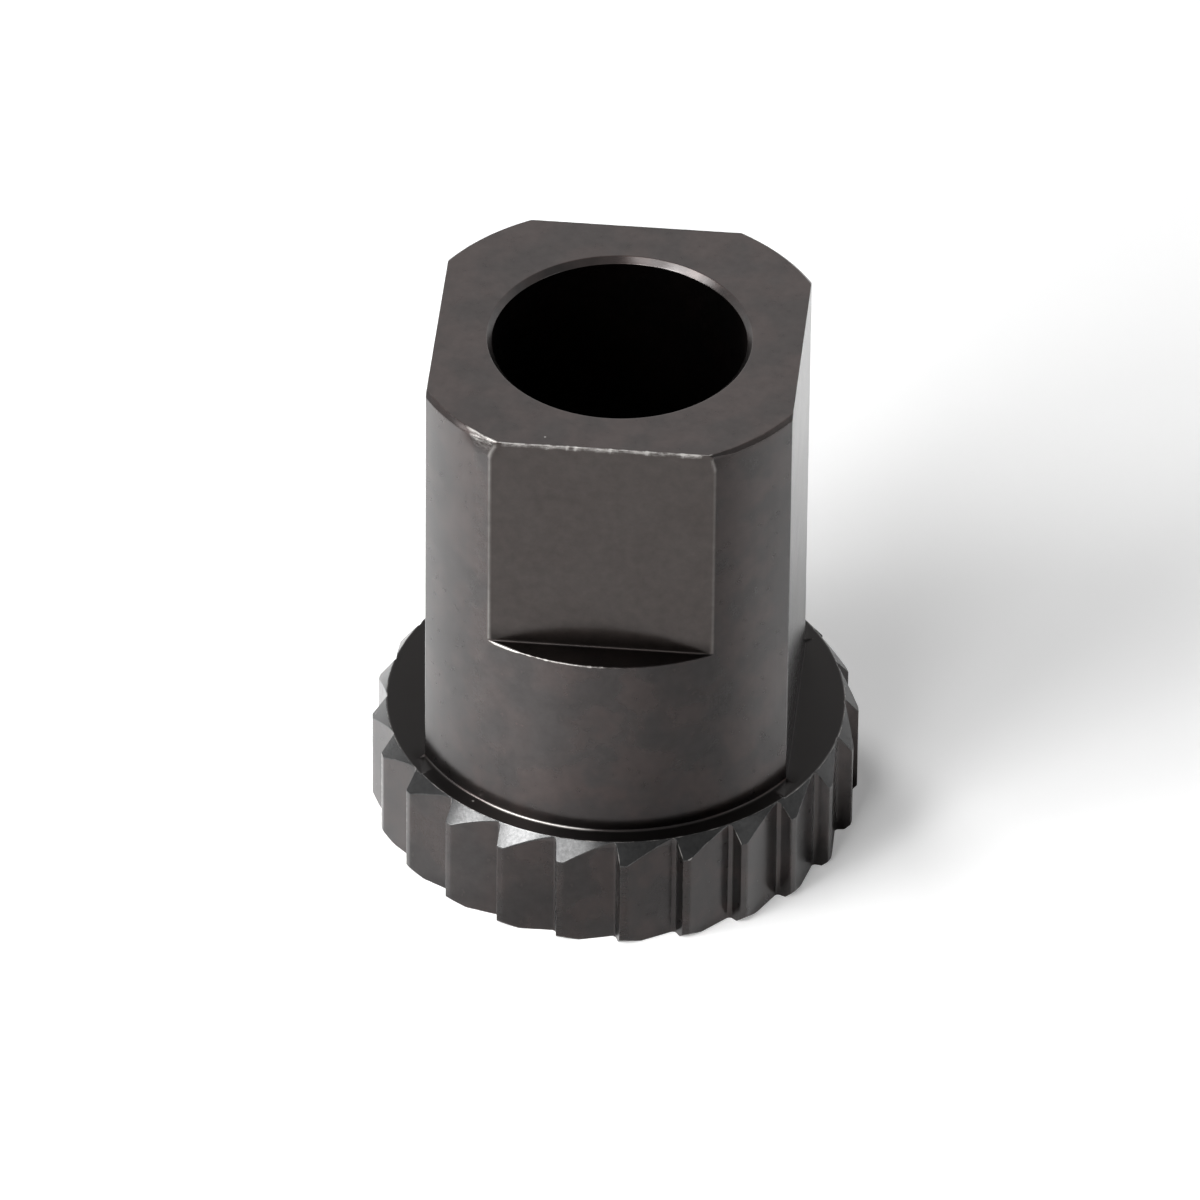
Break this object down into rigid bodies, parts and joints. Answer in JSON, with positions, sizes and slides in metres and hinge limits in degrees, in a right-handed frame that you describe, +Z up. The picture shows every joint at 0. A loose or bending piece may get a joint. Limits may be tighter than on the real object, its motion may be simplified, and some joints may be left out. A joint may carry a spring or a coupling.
{
  "type": "hub ring nut tool",
  "caption": "Hollow steel hub tool with a flat-sided clamping barrel and a saw-toothed flange that turns a hub's ratchet ring nut.",
  "frame": {"origin": "centre of the underside of the toothed flange, on the bore's axis", "axes": "+Z up the bore towards the barrel's open top; +X and -X out of the two full-length flats; +Y and -Y out of the two short flats"},
  "size_m": [0.0308, 0.0308, 0.0367],
  "materials": {
    "black_oxide_steel": "black-oxide on turned and milled steel, satin, rubbed bright along a few edges"
  },
  "bodies": {
    "root": {"ring_nut_tool": "black_oxide_steel"}
  },
  "joints": []
}
